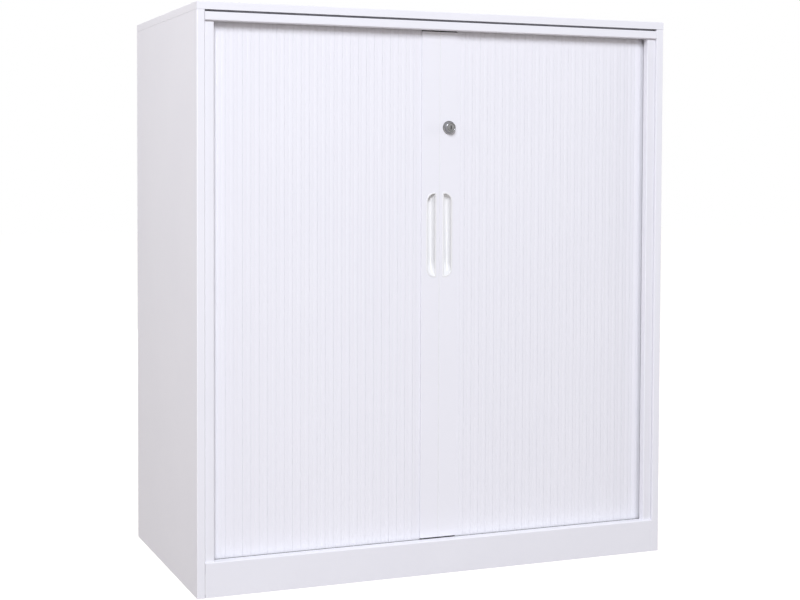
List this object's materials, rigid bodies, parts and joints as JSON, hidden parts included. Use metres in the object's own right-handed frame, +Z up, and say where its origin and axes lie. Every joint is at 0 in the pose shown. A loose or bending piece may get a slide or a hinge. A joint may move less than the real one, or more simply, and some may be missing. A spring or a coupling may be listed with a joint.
{
  "type": "tambour door office cupboard",
  "caption": "Low white steel cupboard with side-opening vertical-slat tambour doors, a plinth, finger pulls and a cam lock.",
  "frame": {"origin": "on the floor, at the middle of the footprint", "axes": "+X to the right seen from the front, +Y to the back, +Z up; the doors face -Y"},
  "size_m": [0.9, 0.465, 1.004],
  "materials": {
    "white_steel": "white powder coat, semi-matt, fine orange peel",
    "white_slat": "white extruded plastic, semi-matt",
    "white_profile": "white powder-coated aluminium extrusion",
    "white_moulding": "white moulded plastic",
    "track_plastic": "black sliding plastic",
    "nickel": "nickel-plated die casting",
    "zinc_steel": "bright zinc-plated steel",
    "black_rubber": "black rubber"
  },
  "bodies": {
    "carcass": {"side_panel_left": "white_steel", "side_panel_right": "white_steel", "stile_left": "white_steel", "stile_right": "white_steel", "liner_left": "white_steel", "liner_right": "white_steel", "shelf_strip_front_left": "white_steel", "shelf_strip_front_right": "white_steel", "shelf_strip_rear_left": "white_steel", "shelf_strip_rear_right": "white_steel", "top_panel": "white_steel", "header_rail": "white_steel", "plinth": "white_steel", "rear_rail": "white_steel", "back_panel": "white_steel", "base_panel": "white_steel", "ceiling_panel": "white_steel", "bottom_track_front": "track_plastic", "top_track_front": "track_plastic", "bottom_track_left": "track_plastic", "bottom_track_right": "track_plastic", "top_track_left": "track_plastic", "top_track_right": "track_plastic", "run_end_stops": "black_rubber", "centre_stops": "black_rubber", "corner_slats_left": "white_slat", "corner_slats_right": "white_slat", "shelf_clips_lower": "zinc_steel", "shelf_clips_upper": "zinc_steel", "foot_brackets": "zinc_steel"},
    "door_left": {"leading_profile_left": "white_profile", "guide_shoes_left": "track_plastic", "finger_cup_left": "white_moulding", "closing_strip": "white_moulding", "lock_keeper": "zinc_steel", "curtain_left": "white_slat"},
    "door_right": {"leading_profile_right": "white_profile", "guide_shoes_right": "track_plastic", "finger_cup_right": "white_moulding", "lock_housing": "nickel", "lock_nut": "zinc_steel", "curtain_right": "white_slat"},
    "tail_left": {"tail_slats_left": "white_slat"},
    "tail_right": {"tail_slats_right": "white_slat"},
    "lock_cylinder": {"lock_plug": "nickel", "lock_cam": "zinc_steel"},
    "shelf_lower": {"shelf_lower": "white_steel"},
    "shelf_upper": {"shelf_upper": "white_steel"},
    "foot_front_left": {"foot_front_left": "zinc_steel"},
    "foot_rear_left": {"foot_rear_left": "zinc_steel"},
    "foot_front_right": {"foot_front_right": "zinc_steel"},
    "foot_rear_right": {"foot_rear_right": "zinc_steel"}
  },
  "joints": [
    {"name": "door_left_slide", "type": "slide", "parent": "carcass", "child": "door_left", "axis": [-1, 0, 0], "range_m": [0, 0.355], "deforming": ["curtain_left"]},
    {"name": "door_right_slide", "type": "slide", "parent": "carcass", "child": "door_right", "axis": [1, 0, 0], "range_m": [0, 0.355], "deforming": ["curtain_right"]},
    {"name": "tail_left_slide", "type": "slide", "parent": "carcass", "child": "tail_left", "axis": [0, 1, 0], "range_m": [0, 0.355]},
    {"name": "tail_right_slide", "type": "slide", "parent": "carcass", "child": "tail_right", "axis": [0, 1, 0], "range_m": [0, 0.355]},
    {"name": "lock_turn", "type": "hinge", "parent": "door_right", "child": "lock_cylinder", "pos_m": [0.0175, -0.2, 0.8005], "axis": [0, -1, 0], "range_deg": [0, 90]},
    {"name": "shelf_lower_lift", "type": "slide", "parent": "carcass", "child": "shelf_lower", "axis": [0, 0, 1], "range_m": [0, 0.02]},
    {"name": "shelf_upper_lift", "type": "slide", "parent": "carcass", "child": "shelf_upper", "axis": [0, 0, 1], "range_m": [0, 0.02]},
    {"name": "foot_front_left_screw", "type": "slide", "parent": "carcass", "child": "foot_front_left", "axis": [0, 0, -1], "range_m": [0, 0.015]},
    {"name": "foot_rear_left_screw", "type": "slide", "parent": "carcass", "child": "foot_rear_left", "axis": [0, 0, -1], "range_m": [0, 0.015]},
    {"name": "foot_front_right_screw", "type": "slide", "parent": "carcass", "child": "foot_front_right", "axis": [0, 0, -1], "range_m": [0, 0.015]},
    {"name": "foot_rear_right_screw", "type": "slide", "parent": "carcass", "child": "foot_rear_right", "axis": [0, 0, -1], "range_m": [0, 0.015]}
  ],
  "couplings": [
    {"joint": "tail_left_slide", "follows": "door_left_slide", "ratio": 1},
    {"joint": "tail_right_slide", "follows": "door_right_slide", "ratio": 1}
  ]
}
